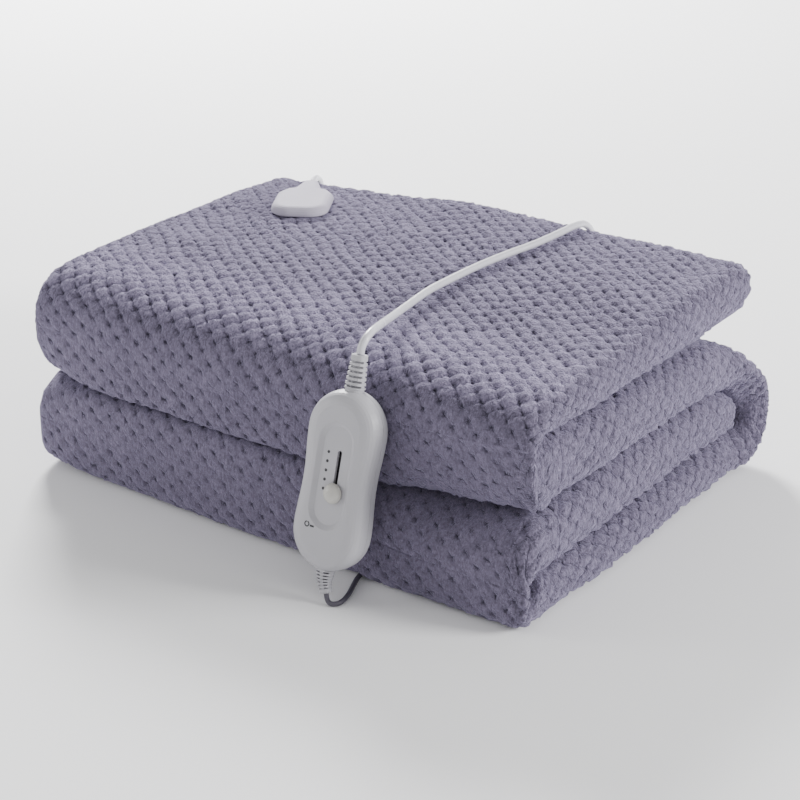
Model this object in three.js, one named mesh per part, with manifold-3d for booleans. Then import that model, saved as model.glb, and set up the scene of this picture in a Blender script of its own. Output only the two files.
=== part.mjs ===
// A folded electric underblanket with its connector housing, controller, cords and plug.
// Millimetres, +Z up. The origin is on the surface that the stack rests on, under the stack's middle.
// +X runs along the stack's long side and the controller leans on the front, at -Y.

import * as THREE from 'three';
import { mergeVertices } from 'three/addons/utils/BufferGeometryUtils.js';
import Module from 'manifold-3d';

const wasm = await Module();
wasm.setup();

const DEGREE = Math.PI / 180;

// ---------------------------------------------------------------- driving dimensions

const STACK_WIDTH = 400; // along X
const STACK_DEPTH = 285; // along Y
const STACK_HEIGHT = 142;
const BAND_GAP = 1.6; // between one band of the stack and the next
const LAYER = 7.7; // one layer of the padded cloth
const CLEAR = 0.3; // between separate pieces

const CORD_DIAMETER = 5; // blanket to controller
const LEAD_DIAMETER = 3.2; // controller to plug

const CONTROLLER = { length: 112.6, halfWidth: 25.2, waist: 1.8, back: 9, front: 12, wall: 2 };
const CONTROLLER_AT = new THREE.Vector3(78, -170.4, 74.6);
const CONTROLLER_LEAN = 16.4 * DEGREE;

// ---------------------------------------------------------------- small helpers

const vec = (x, y, z) => new THREE.Vector3(x, y, z);
const { lerp, clamp, euclideanModulo } = THREE.MathUtils;
const smooth = (low, high, value) => {
	const t = clamp((value - low) / (high - low), 0, 1);
	return t * t * (3 - 2 * t);
};

function material(hex, roughness) {
	return new THREE.MeshStandardMaterial({ color: hex, roughness, metalness: 0 });
}

// A closed mesh from vertices and triangles, turned to face outwards.
function closedGeometry(points, triangles) {
	let volume = 0;
	for (const [a, b, c] of triangles) volume += points[a].dot(points[b].clone().cross(points[c]));
	const faces = volume < 0 ? triangles.map(([a, b, c]) => [a, c, b]) : triangles;
	const geometry = new THREE.BufferGeometry();
	geometry.setAttribute('position', new THREE.Float32BufferAttribute(points.flatMap((p) => p.toArray()), 3));
	geometry.setIndex(faces.flat());
	geometry.computeVertexNormals();
	return geometry;
}

// A shape's points, without the ones that repeat their neighbour.
function closedOutline(shape, pieces) {
	const points = shape.extractPoints(pieces).shape;
	return points.filter((p, i) => p.distanceTo(points.at(i - 1)) > 1e-3);
}

// Skins a row of rings that have the same number of points, and closes both ends. outline is the
// ring's shape in two dimensions, for the end faces.
function loft(rings, outline) {
	const count = rings[0].length;
	const points = rings.flat();
	const triangles = [];
	for (let r = 0; r + 1 < rings.length; r++) {
		for (let i = 0; i < count; i++) {
			const j = (i + 1) % count;
			const [a, b, c, d] = [r * count + i, r * count + j, (r + 1) * count + j, (r + 1) * count + i];
			triangles.push([a, b, c], [a, c, d]);
		}
	}
	const last = (rings.length - 1) * count;
	const turn = THREE.ShapeUtils.isClockWise(outline) ? -1 : 1;
	for (const [a, b, c] of THREE.ShapeUtils.triangulateShape(outline, [])) {
		const face = turn > 0 ? [a, b, c] : [c, b, a];
		triangles.push([face[2], face[1], face[0]], face.map((index) => index + last));
	}
	return closedGeometry(points, triangles);
}

function solidOf(geometry) {
	const bare = geometry.clone();
	bare.deleteAttribute('normal');
	bare.deleteAttribute('uv');
	const merged = mergeVertices(bare, 1e-4);
	const index = merged.index ? merged.index.array : [...Array(merged.attributes.position.count).keys()];
	return new wasm.Manifold(new wasm.Mesh({
		numProp: 3,
		vertProperties: new Float32Array(merged.attributes.position.array),
		triVerts: new Uint32Array(index),
	}));
}

function geometryOf(solid) {
	const mesh = solid.getMesh();
	const geometry = new THREE.BufferGeometry();
	geometry.setAttribute('position', new THREE.BufferAttribute(mesh.vertProperties, 3));
	geometry.setIndex(new THREE.BufferAttribute(mesh.triVerts, 1));
	geometry.computeVertexNormals();
	return geometry;
}

const object = new THREE.Group();

function add(name, geometry, finish, parent = object) {
	const mesh = new THREE.Mesh(geometry, finish);
	mesh.name = name;
	parent.add(mesh);
	return mesh;
}

// ---------------------------------------------------------------- finishes

const cloth = () => material(0x8d8aa2, 0.95);
const whitePlastic = () => material(0xdcdce2, 0.4);
const greyPlastic = () => material(0xb8b8c0, 0.45);
const leadGrey = () => material(0x6c6878, 0.6);
const pinMetal = () => new THREE.MeshStandardMaterial({ color: 0xc9ccd0, roughness: 0.3, metalness: 1 });

// ---------------------------------------------------------------- the folded blanket
//
// The cloth is folded in four along X, which makes one pack of four layers, and the pack is folded
// four times along Y. Seen from +X the pack runs: top band A from the back to the front, front fold,
// band B back, round the back fold, bottom band D to the front, front fold, band C to its end inside.

const BAND = (STACK_HEIGHT - 3 * BAND_GAP) / 4; // thickness of the pack
const HALF = BAND / 2;
const PITCH = BAND + BAND_GAP;
const LAYER_GAP = (BAND - 4 * LAYER) / 3;
const MID = { D: HALF, C: HALF + PITCH, B: HALF + 2 * PITCH, A: HALF + 3 * PITCH };

const FRONT = -STACK_DEPTH / 2;
const FOLD_REACH = 34.5; // front folds, from their axis to their outer face
const FOLD_Y = FRONT + FOLD_REACH;
const BACK_FOLD_Y = 90;
const BACK_REACH = { inner: 38, outer: 59 };
const FRONT_REACH = { inner: 13, outer: FOLD_REACH };
const A_END = 141; // back ends of the two bands that end in a hem
const C_END = 122;

// Heights of the lines between the bands, at places over the stack's plan. d, c and b are the tops
// of bands D, C and B, foot is the underside of band A and top its upper face.
const HEIGHTS = [
	{ x: -200, y: -142, d: 34, c: 65, b: 103, foot: 104.6, top: 139 },
	{ x: -200, y: -40, d: 33, c: 67, b: 102, foot: 103.6, top: 140 },
	{ x: -200, y: 60, d: 32, c: 66, b: 99, foot: 102, top: 137.5 },
	{ x: -200, y: 142, d: 28, c: 58, b: 92, foot: 103, top: 133.5 },
	{ x: 0, y: -142, d: 34, c: 66, b: 102, foot: 103.6, top: 140 },
	{ x: 0, y: -40, d: 33, c: 68, b: 105, foot: 106.6, top: 143 },
	{ x: 0, y: 60, d: 33, c: 68, b: 105, foot: 108, top: 146 },
	{ x: 0, y: 142, d: 28, c: 58, b: 93, foot: 110, top: 146 },
	{ x: 130, y: -142, d: 29, c: 62, b: 111, foot: 112.6, top: 141.5 },
	{ x: 130, y: -40, d: 31, c: 71, b: 110, foot: 111.6, top: 142.5 },
	{ x: 130, y: 60, d: 30.5, c: 68.5, b: 107.5, foot: 110, top: 146.5 },
	{ x: 130, y: 142, d: 28, c: 57, b: 91.5, foot: 111.5, top: 145.5 },
	{ x: 200, y: -142, d: 30, c: 67, b: 116, foot: 117.6, top: 142 },
	{ x: 200, y: -40, d: 30, c: 72, b: 112, foot: 113.6, top: 142.5 },
	{ x: 200, y: 60, d: 29.5, c: 69, b: 106, foot: 109, top: 146.5 },
	{ x: 200, y: 142, d: 28, c: 56, b: 91, foot: 108, top: 145.5 },
];
const HEIGHT_X = [-200, 0, 130, 200];
const HEIGHT_Y = [-142, -40, 60, 142];
// The same lines in the evenly folded stack.
const EVEN = [0, BAND + BAND_GAP / 2, 2 * BAND + 1.5 * BAND_GAP, 3 * BAND + 2 * BAND_GAP,
	3 * BAND + 3 * BAND_GAP, STACK_HEIGHT];

function span(stops, value) {
	const held = clamp(value, stops[0], stops.at(-1));
	const i = Math.min(stops.findIndex((stop, k) => held <= stops[k + 1]), stops.length - 2);
	return [i, smooth(stops[i], stops[i + 1], held)];
}

function linesAt(x, y) {
	const [i, s] = span(HEIGHT_X, x);
	const [j, t] = span(HEIGHT_Y, y);
	const row = (a, b) => HEIGHTS[(i + a) * HEIGHT_Y.length + j + b];
	const across = (key, a) => lerp(row(a, 0)[key], row(a, 1)[key], t);
	const mixed = (key) => lerp(across(key, 0), across(key, 1), s);
	return [0, mixed('d'), mixed('c'), mixed('b'), mixed('foot'), mixed('top')];
}

// Moves a height in the even stack to its height in the real one, with no kink at the lines.
function settle(x, y, z) {
	const lines = linesAt(x, y);
	const rise = EVEN.slice(1).map((_, i) => (lines[i + 1] - lines[i]) / (EVEN[i + 1] - EVEN[i]));
	const i = clamp(EVEN.findIndex((_, k) => z <= EVEN[k + 1]), 0, EVEN.length - 2);
	const slope = (k) => {
		if (k <= 0) return rise[0];
		if (k >= rise.length) return rise.at(-1);
		return (2 * rise[k - 1] * rise[k]) / (rise[k - 1] + rise[k]);
	};
	const width = EVEN[i + 1] - EVEN[i];
	const t = (z - EVEN[i]) / width;
	const eased = t * t * (3 - 2 * t);
	const [leaving, arriving] = [t * (1 - t) ** 2, t * t * (t - 1)];
	return lerp(lines[i], lines[i + 1], eased) + width * (leaving * slope(i) + arriving * slope(i + 1));
}

// The front stands further out at the right, and more so at the lower fold.
function frontShift(x, y, z) {
	const along = (x + STACK_WIDTH / 2) / STACK_WIDTH;
	const lower = -0.5 - 17.5 * along;
	const upper = 1.5 - 9 * along;
	const share = smooth(40, -FRONT, -y);
	return share * lerp(lower, upper, smooth(0.35, 0.65, z / STACK_HEIGHT));
}

// The front left corner is round underneath, and so stands a little off the surface.
function cornerLift(x, y) {
	return 6.5 * smooth(-145, -200, x) * smooth(-95, FRONT, y);
}

// The pack's corners beside a hem are round in plan.
function cornerInset(distance, radius) {
	const left = Math.max(radius - distance, 0);
	return radius - Math.sqrt(radius ** 2 - left ** 2);
}

// A sine or cosine for a rounded square: power 2 is a circle, more is squarer.
const squared = (value, power) => Math.sign(value) * Math.abs(value) ** (2 / power);

// One cross-section of the pack, in x and in n, the height over the pack's mid-line, as one closed
// line round the cloth. shift is how far the right end is drawn in at n > 0 and at n < 0.
const END_SQUARE = 2.7; // 2 is a round end, more is squarer
const GROOVE_X = 78; // the mains lead passes under the stack here
const GROOVE = { half: 3.2, rim: 9, height: 4.4 };

function packSection(left, right, shift) {
	const line = [];
	const straight = (x0, x1, n, extra = []) => {
		const steps = [1, 2, 3].map((i) => lerp(x0, x1, i / 4));
		const xs = [x0, ...steps, ...extra, x1].sort((a, b) => (a - b) * Math.sign(x1 - x0));
		for (const x of xs) line.push({ x, n, up: Math.sign(x1 - x0), side: 0 });
	};
	const arc = (cx, cn, radius, from, to, steps, square = 2) => {
		for (let i = 1; i < steps; i++) {
			const angle = DEGREE * lerp(from, to, i / steps);
			const [c, s] = [Math.cos(angle), Math.sin(angle)];
			const normal = [squared(c, square), squared(s, square)];
			const inset = square > 2 ? shiftAt(s) : 0;
			const place = { x: cx + radius * normal[0] - inset, n: cn + radius * normal[1] };
			line.push({ ...place, normal, turn: Math.sign(to - from) });
		}
	};
	const shiftAt = (sine) => lerp(shift.below, shift.above, smooth(-0.5, 0.5, sine));
	const outer = 1.5 * (LAYER + LAYER_GAP);
	const inner = outer / 3;
	const fold = right - HALF;
	const innerFold = fold - 1.5 - Math.max(shift.above, shift.below);
	const leftFold = left + inner + LAYER / 2;
	straight(left + 5, innerFold, -inner);
	arc(innerFold, 0, inner, -90, 90, 4);
	straight(innerFold, leftFold, inner);
	arc(leftFold, 2 * inner, inner, -90, -270, 4);
	straight(leftFold, fold - shift.above, outer);
	arc(fold, 0, outer, 90, -90, 8, END_SQUARE);
	straight(fold - shift.below, left + 2, -outer, [GROOVE_X - GROOVE.rim, GROOVE_X - GROOVE.half,
		GROOVE_X + GROOVE.half, GROOVE_X + GROOVE.rim]);
	const offset = (side) => line.map((p) => {
		const normal = p.normal ?? [0, 1];
		const facing = p.normal ? -p.turn : p.up;
		const out = side * facing * (LAYER / 2);
		return { x: p.x + normal[0] * out, n: p.n + normal[1] * out };
	});
	return [...offset(1), ...offset(-1).reverse()];
}

// How tightly the two front folds are pressed together: not at the stack's left end, and less and
// less towards its right one.
const pressed = (x) => 7.5 * smooth(-190, -130, x) * (1 - smooth(20, 130, x));

// Stations round a fold of the pack, each a function that gives y and z in the even stack for an x
// and a height n over the mid-line. The side with n > 0 is outside where sense is 1, the other at -1.
// power says how square the fold is, over and under its middle.
function foldStations(foldY, middle, sense, { half, from, way, inner, outer }, steps, power) {
	return Array.from({ length: steps - 1 }, (_, i) => {
		const angle = DEGREE * (90 - (180 * (i + 1)) / steps);
		return (x, n) => {
			const share = (from + sense * n) / half;
			const square = (Math.sin(angle) < 0 ? power.below : power.above)(x);
			const least = (from - HALF) / half;
			const depth = lerp(inner, outer, (share - least) / (1 - least));
			const across = squared(Math.cos(angle), square);
			return [foldY + way * depth * across, middle + share * half * squared(Math.sin(angle), square)];
		};
	});
}

// What is left of the pack's thickness near a hem.
function hemShare(distance) {
	const left = clamp(distance / HALF, 0, 1);
	return Math.max(0.3, Math.sqrt(1 - (1 - left) ** 2));
}

const HEM_STEPS = [0, 1.5, 5, 10, HALF];
const HEM_ROUND = 14; // radius of the pack's corners in plan

function packStations() {
	const list = [];
	const straight = (ys, mid, sense, ends, shift) => {
		for (const y of ys) {
			const share = ends === undefined ? 1 : hemShare(Math.abs(y - ends));
			const inset = ends === undefined ? 0 : cornerInset(Math.abs(y - ends), HEM_ROUND);
			list.push({ place: (x, n) => [y, mid + sense * n * share], mid, shift, inset });
		}
	};
	const fold = (places, mid, shift) => {
		for (const place of places) list.push({ place, mid, shift, inset: 0 });
	};
	const none = { above: 0, below: 0 };
	const half = PITCH / 2 + HALF;
	const frontReach = { half, from: PITCH / 2, way: -1, ...FRONT_REACH };
	const backReach = { half: PITCH + HALF, from: PITCH, way: 1, ...BACK_REACH };
	const upper = foldStations(FOLD_Y, (MID.A + MID.B) / 2, 1, frontReach, 12,
		{ above: () => 2.2, below: (x) => 2.5 + pressed(x) });
	const back = foldStations(BACK_FOLD_Y, MID.C, -1, backReach, 12, { above: () => 2.2, below: () => 3 });
	const lower = foldStations(FOLD_Y, (MID.C + MID.D) / 2, -1, frontReach, 12,
		{ above: (x) => 2.6 + pressed(x), below: () => 6.5 });
	straight([...HEM_STEPS.map((d) => A_END - d), 80, 30, -20, -70, FOLD_Y], MID.A, 1, A_END, none);
	fold(upper, 'upper', { above: 0, below: 2.5 });
	straight([FOLD_Y, -60, 0, 50, BACK_FOLD_Y], MID.B, -1, undefined, none);
	fold(back, 'back', { above: 14, below: 0 });
	straight([BACK_FOLD_Y, 50, 0, -60, FOLD_Y], MID.D, 1, undefined, none);
	fold(lower.reverse(), 'lower', { above: 4, below: 0 });
	straight([FOLD_Y, -60, 0, 50, ...HEM_STEPS.map((d) => C_END - d).reverse()], MID.C, -1, C_END, none);
	return list;
}

// How far right each part of the pack reaches.
const RIGHT_END = {
	upper: 200, back: 215, lower: 204, [MID.A]: 200, [MID.B]: 206, [MID.C]: 205, [MID.D]: 208,
};
// And how far left.
const LEFT_END = {
	upper: -198, back: -201, lower: -198, [MID.A]: -197.5, [MID.B]: -200, [MID.C]: -199, [MID.D]: -199,
};

function blanket() {
	const rings = [];
	let outline;
	for (const station of packStations()) {
		const left = LEFT_END[station.mid] + station.inset / 2;
		const right = RIGHT_END[station.mid] - station.inset;
		const section = packSection(left, right, station.shift);
		outline ??= section.map((p) => new THREE.Vector2(p.x, p.n));
		rings.push(section.map(({ x, n }) => {
			const [y, even] = station.place(x, n);
			const flat = settle(x, y, even);
			const lift = cornerLift(x, y);
			const z = flat < 60 ? lift + flat * (1 - lift / 60) : flat;
			const beside = Math.abs(x - GROOVE_X);
			const floor = beside < GROOVE.rim - 0.01 ? GROOVE.height : 0;
			return vec(x, y + frontShift(x, y, even), Math.max(z, floor));
		}));
	}
	return loft(rings, outline);
}

add('blanket', blanket(), cloth());

// ---------------------------------------------------------------- connector housing on the top

const HOUSING = { length: 56, width: 41, nose: 19, noseWidth: 9, height: 7 };
const HOUSING_AT = vec(-123.6, 66, 141.7);
const HOUSING_TURN = 28 * DEGREE;

// A flat pad with round corners, shoulders at the back and a narrower nose that the cord leaves.
function housingOutline(inset) {
	const half = HOUSING.width / 2 - inset;
	const back = HOUSING.length / 2 - inset;
	const front = -back;
	const round = 15 - inset;
	const shape = new THREE.Shape();
	shape.moveTo(-half + round, front);
	shape.lineTo(half - round, front);
	shape.absarc(half - round, front + round, round, -Math.PI / 2, 0);
	shape.lineTo(half, back - 12);
	shape.lineTo(half - 5, back - 2);
	shape.lineTo(half - 10, back);
	shape.lineTo(HOUSING.noseWidth / 2 + 1 - inset / 2, back + HOUSING.nose - 1);
	shape.lineTo(HOUSING.noseWidth / 2 - inset / 2, back + HOUSING.nose);
	shape.lineTo(-HOUSING.noseWidth / 2 + inset / 2, back + HOUSING.nose);
	shape.lineTo(-HOUSING.noseWidth / 2 - 1 + inset / 2, back + HOUSING.nose - 1);
	shape.lineTo(-half + 10, back);
	shape.lineTo(-half + 5, back - 2);
	shape.lineTo(-half, back - 12);
	shape.absarc(-half + round, front + round, round, Math.PI, 1.5 * Math.PI);
	return closedOutline(shape, 6);
}

function housing() {
	const levels = [[0, 0.8], [0.9, 0], [2.4, 0], [4.2, 0.5], [5.6, 1.5], [6.5, 2.9], [HOUSING.height, 4.6]];
	const rings = levels.map(([z, inset]) => housingOutline(inset).map((p) => vec(p.x, p.y, z)));
	return loft(rings, housingOutline(0));
}

const pad = add('connector_housing', housing(), whitePlastic());
pad.position.copy(HOUSING_AT);
pad.rotation.set(0, 0, HOUSING_TURN);
pad.rotateX(-2.4 * DEGREE);

// ---------------------------------------------------------------- controller
//
// Drawn lying on its back, with its length along Y and its face up, and then stood against the stack.

const controller = new THREE.Group();
controller.position.copy(CONTROLLER_AT);
controller.rotation.set(Math.PI / 2 - CONTROLLER_LEAN, 0, 0);
object.add(controller);

const FACE = CONTROLLER.front; // height of the face over the parting plane
const RELIEF = { collar: 5.8, start: 50, z: 0.6, ribs: 6, sides: 24 };
const PANEL = { length: 66, width: 25, at: [0.5, 3.5], depth: 2.1 };
const SLOT = { x: 2.8, low: -9.8, high: 19.8, width: 3 };
const KNOB = { radius: 6.4, height: 4.4, stem: 2.4, low: -6.6, plate: 1.4 };

function controllerOutline(inset, pieces = 12) {
	const { length, halfWidth, waist } = CONTROLLER;
	const radius = halfWidth - inset;
	const middle = length / 2 - halfWidth;
	const side = [];
	for (let i = 0; i <= pieces; i++) {
		const angle = lerp(-Math.PI / 2, 0, i / pieces);
		side.push([radius * Math.cos(angle), -middle + radius * Math.sin(angle)]);
	}
	for (let i = 1; i <= pieces; i++) {
		const y = lerp(-middle, middle, i / (pieces + 1));
		side.push([radius - waist * Math.cos((Math.PI * y) / (2 * middle)) ** 2, y]);
	}
	for (let i = 0; i <= pieces; i++) {
		const angle = lerp(0, Math.PI / 2, i / pieces);
		side.push([radius * Math.cos(angle), middle + radius * Math.sin(angle)]);
	}
	const left = side.slice(1, -1).reverse().map(([x, y]) => [-x, y]);
	return [...side, ...left].map(([x, y]) => new THREE.Vector2(x, y));
}

function shell(levels) {
	const rings = levels.map(([z, inset]) => controllerOutline(inset).map((p) => vec(p.x, p.y, z)));
	return loft(rings, controllerOutline(1));
}

// A bar with round ends, standing from low to high, wider by flare at its top.
function roundedBar(width, length, x, y, low, high, flare = 0) {
	const ring = (grow, z) => {
		const radius = width / 2 + grow;
		const shape = new THREE.Shape();
		shape.absarc(x, y + length / 2 - width / 2, radius, 0, Math.PI);
		shape.absarc(x, y - length / 2 + width / 2, radius, Math.PI, 2 * Math.PI);
		return closedOutline(shape, 8).map((p) => vec(p.x, p.y, z));
	};
	const rings = [ring(0, low), ring(flare, high)];
	return loft(rings, rings[0].map((p) => new THREE.Vector2(p.x, p.y)));
}

// The holes at the two ends that the strain reliefs leave by.
function reliefHoles(solid) {
	for (const way of [1, -1]) {
		const hole = new THREE.CylinderGeometry(RELIEF.collar + 0.35, RELIEF.collar + 0.35, 12, 32);
		hole.translate(0, way * (RELIEF.start + 6 - 0.6), RELIEF.z);
		solid = solid.subtract(solidOf(hole));
	}
	return solid;
}

// The rounding of the face, as heights over the parting plane and how far in the outline is there.
const FACE_ROUND = [
	[CLEAR, 0], [4, 0.2], [6.5, 0.8], [8.4, 1.8], [9.8, 3.1], [10.8, 4.8], [11.5, 6.8], [11.9, 9], [FACE, 11],
];

function frontShell() {
	const outer = solidOf(shell(FACE_ROUND));
	const { wall } = CONTROLLER;
	const hollow = solidOf(shell([[-1, wall], [5, wall + 0.4], [6.6, 3.6], [FACE - PANEL.depth - 2.2, 8]]));
	const [px, py] = PANEL.at;
	const [wide, long] = [PANEL.width - 5, PANEL.length - 5];
	const panel = solidOf(roundedBar(wide, long, px, py, FACE - PANEL.depth, FACE + 1, 4.4));
	const slotLength = SLOT.high - SLOT.low;
	const slot = solidOf(roundedBar(SLOT.width, slotLength, SLOT.x, (SLOT.high + SLOT.low) / 2, 4, FACE + 1));
	return geometryOf(reliefHoles(outer.subtract(hollow).subtract(panel).subtract(slot)));
}

function backShell() {
	const { back, wall } = CONTROLLER;
	const outer = solidOf(shell([[-back, 5], [-8, 2.6], [-6.6, 1.2], [-5, 0.5], [-2, 0.1], [0, 0]]));
	const hollow = solidOf(shell([[wall - back, 4.5], [-5, 2.6], [1, wall]]));
	return geometryOf(reliefHoles(outer.subtract(hollow)));
}

function knob() {
	const top = FACE - PANEL.depth + CLEAR;
	const under = FACE - PANEL.depth - 2.4 - CLEAR;
	const profile = [[0, top], [KNOB.radius - 0.4, top], [KNOB.radius, top + 0.8]];
	for (let i = 1; i <= 6; i++) {
		const angle = (i / 6) * (Math.PI / 2);
		profile.push([KNOB.radius * Math.cos(angle) ** 0.8, top + 0.8 + (KNOB.height - 0.8) * Math.sin(angle)]);
	}
	profile.at(-1)[0] = 0;
	const dome = new THREE.LatheGeometry(profile.map(([r, z]) => new THREE.Vector2(r, z)), 24);
	dome.rotateX(Math.PI / 2);
	const at = (geometry) => solidOf(geometry.translate(SLOT.x, KNOB.low, 0));
	const stem = new THREE.BoxGeometry(KNOB.stem, KNOB.stem, top + 1 - (under - 1));
	stem.translate(0, 0, (top + 1 + under - 1) / 2);
	const plate = new THREE.BoxGeometry(8, 9, KNOB.plate);
	plate.translate(0, 0, under - KNOB.plate / 2);
	return geometryOf(at(dome).add(at(stem)).add(at(plate)));
}

add('controller_back', backShell(), greyPlastic(), controller);
add('controller_front', frontShell(), greyPlastic(), controller);
add('controller_knob', knob(), whitePlastic(), controller);

// ---------------------------------------------------------------- strain reliefs

// Rings across a curve, with across kept as level as the first one. place(t, angle) gives the
// ring's radius at a share of the length and an angle from across.
function ringsAlong(curve, shares, sides, across, place) {
	let level = across.clone();
	return shares.map((t) => {
		const along = curve.getTangentAt(t);
		level = level.addScaledVector(along, -level.dot(along)).normalize();
		const up = along.clone().cross(level);
		return Array.from({ length: sides }, (_, i) => {
			const angle = (2 * Math.PI * i) / sides;
			const radius = place(t, angle);
			return curve.getPointAt(t).addScaledVector(level, radius * Math.cos(angle))
				.addScaledVector(up, radius * Math.sin(angle));
		});
	});
}

function disc(sides) {
	return Array.from({ length: sides }, (_, i) => {
		const angle = (2 * Math.PI * i) / sides;
		return new THREE.Vector2(Math.cos(angle), Math.sin(angle));
	});
}

// A relief is a tapered sleeve with a rib between each two slots. The slots are cut in to a core,
// and webs, each an angle with a half-width, tie the ribs together. It starts as a round collar
// inside the case.
function relief(curve, across, { base, tip, core, webs, inside, ribs = RELIEF.ribs, sides = RELIEF.sides }) {
	const pitch = (1 - inside - 0.12) / ribs;
	const slots = Array.from({ length: ribs }, (_, i) => inside + 0.05 + i * pitch);
	const inSlot = (t) => slots.some((slot) => t > slot + 0.001 && t < slot + 0.5 * pitch - 0.001);
	const shares = inside > 0 ? [0, inside, inside + 0.02] : [0, 0.02];
	for (const slot of slots) shares.push(slot, slot + 0.002, slot + 0.5 * pitch - 0.002, slot + 0.5 * pitch);
	shares.push(0.985, 1);
	const apart = (a, b) => Math.abs(euclideanModulo(a - b + Math.PI, 2 * Math.PI) - Math.PI);
	const place = (t, angle) => {
		if (inside > 0 && t <= inside) return RELIEF.collar;
		const taper = (t - inside) / (1 - inside);
		const [wide, deep] = [lerp(base[0], tip[0], taper) / 2, lerp(base[1], tip[1], taper) / 2];
		const [x, y] = [Math.abs(Math.cos(angle) / wide), Math.abs(Math.sin(angle) / deep)];
		const full = (x ** 3.2 + y ** 3.2) ** (-1 / 3.2);
		const web = webs.some(([at, half]) => apart(angle, at * DEGREE) < half * DEGREE);
		if (inSlot(t)) return web ? full - 0.4 : core;
		return t > 0.99 ? full - 0.5 : full;
	};
	return loft(ringsAlong(curve, shares, sides, across, place), disc(sides));
}

controller.updateMatrixWorld(true);
const onController = (y, x = 0, z = RELIEF.z) => controller.localToWorld(vec(x, y, z));
const ACROSS = vec(1, 0, 0);

const upperCurve = new THREE.LineCurve3(onController(RELIEF.start), onController(78));
add('relief_top', relief(upperCurve, ACROSS, {
	base: [12.2, 10.8], tip: [9.2, 8.6], core: 3, webs: [[-90, 9], [0, 16], [90, 16], [180, 16]], inside: 0.24,
}), greyPlastic());

const lowerCurve = new THREE.CatmullRomCurve3([
	onController(-RELIEF.start), onController(-57), vec(78.5, -189, 13), vec(80.6, -190.6, 7),
]);
add('relief_bottom', relief(lowerCurve, ACROSS, {
	base: [11, 10.4], tip: [6.8, 6.2], core: 2.2, webs: [[-90, 9], [0, 32], [90, 16], [180, 32]], inside: 0.28,
}), greyPlastic());

// ---------------------------------------------------------------- cords

function cordTube(points, diameter) {
	const curve = new THREE.CatmullRomCurve3(points);
	const sides = diameter < 4 ? 8 : 10;
	const section = new THREE.Shape(Array.from({ length: sides }, (_, i) => {
		const angle = (2 * Math.PI * i) / sides;
		return new THREE.Vector2((diameter / 2) * Math.cos(angle), (diameter / 2) * Math.sin(angle));
	}));
	const steps = Math.max(4, Math.round(curve.getLength() / (3 * diameter)));
	return new THREE.ExtrudeGeometry(section, { steps, extrudePath: curve, bevelEnabled: false });
}

const points = (rows) => rows.map(([x, y, z]) => vec(x, y, z));

// From the housing's nose over the back edge, along the floor behind the stack, up again, across
// the top and down to the controller.
const CORD_ROUTE = [
	[-145.9, 107.9, 143.3], [-150.4, 116.4, 143.1], [-155.4, 125.5, 141.6], [-160.2, 134, 138.2],
	[-164, 142, 131], [-166, 149, 119], [-166.5, 154, 102], [-165, 157.5, 81], [-161, 160, 58],
	[-154, 161.5, 34], [-143, 163.5, 15], [-127, 166, 4.6], [-103, 169, 2.8], [-73, 171.5, 2.8],
	[-42, 172.5, 2.8], [-12, 171.5, 2.8], [15, 168.5, 2.8], [38, 164.5, 5], [54, 160.5, 15],
	[63.5, 158, 33], [68, 156.5, 57], [70, 155, 83], [71, 152.6, 107], [71.4, 149.4, 126.2],
	[71.3, 143.3, 140.9], [71, 132.7, 149], [70.6, 120, 151], [69.6, 101, 150.6], [66.4, 74, 149.9],
	[60.4, 46, 149.5], [56.2, 19, 149.2], [53.8, -8, 148.8], [53, -36, 148.8], [57.5, -70, 149.6],
	[62.5, -93, 151.6], [68.4, -111, 155], [74, -126, 158.2], [77.6, -137, 159.8], [78.8, -144.6, 158],
	[78.4, -147.5, 154.6], [78, -148.8, 150.1],
];
add('cord', cordTube(points(CORD_ROUTE), CORD_DIAMETER), whitePlastic());

// From the controller under the stack and out at the back to the coil.
const LEAD_ROUTE = [
	[80.76, -190.74, 6.5], [81.7, -191.5, 4.3], [83.6, -192.6, 2.5], [86.4, -192.6, 1.9], [89, -190.2, 1.9],
	[89.6, -186, 1.9], [88, -178, 1.9], [84.4, -168, 1.9], [80.4, -157, 1.9], [78.4, -146, 1.9], [78, -130, 1.9],
	[78, -90, 1.9], [78, -40, 1.9], [78, 10, 1.9], [78, 60, 1.9], [78, 110, 1.9], [78, 148, 1.9],
	[79.4, 158, 1.9], [85, 167.5, 1.9], [95, 173.6, 1.9], [105.5, 175.2, 1.9], [115.6, 175.2, 1.9],
];
add('lead', cordTube(points(LEAD_ROUTE), LEAD_DIAMETER), leadGrey());

const COIL = { at: vec(128, 196, 0), radius: 17.6, columns: 3, rows: 5, foot: 0.3 };
const coilHalf = (COIL.columns * LEAD_DIAMETER) / 2;
const coilTop = COIL.foot + COIL.rows * LEAD_DIAMETER;

function coilRing(grow, low, high) {
	const [inner, outer] = [COIL.radius - coilHalf - grow, COIL.radius + coilHalf + grow];
	const round = 1.2;
	const profile = [
		[inner, low + round], [inner + round, low], [outer - round, low], [outer, low + round],
		[outer, high - round], [outer - round, high], [inner + round, high], [inner, high - round],
		[inner, low + round],
	];
	const ring = new THREE.LatheGeometry(profile.map(([r, z]) => new THREE.Vector2(r, z)), 32);
	ring.rotateX(Math.PI / 2);
	return ring;
}

const coil = add('lead_coil', coilRing(0, COIL.foot, coilTop), leadGrey());
coil.position.copy(COIL.at);

// A band round the coil at its far side from the plug.
const TIE = { thick: 1.2, length: 7, angle: -30 };

function coilTie() {
	const high = coilTop + CLEAR + TIE.thick;
	const band = new THREE.BoxGeometry(2 * (coilHalf + CLEAR + TIE.thick), TIE.length, high);
	band.translate(COIL.radius, 0, high / 2 + 0.02);
	const ring = solidOf(coilRing(CLEAR + 0.1, -3, coilTop + CLEAR));
	return geometryOf(solidOf(band).subtract(ring));
}

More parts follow.
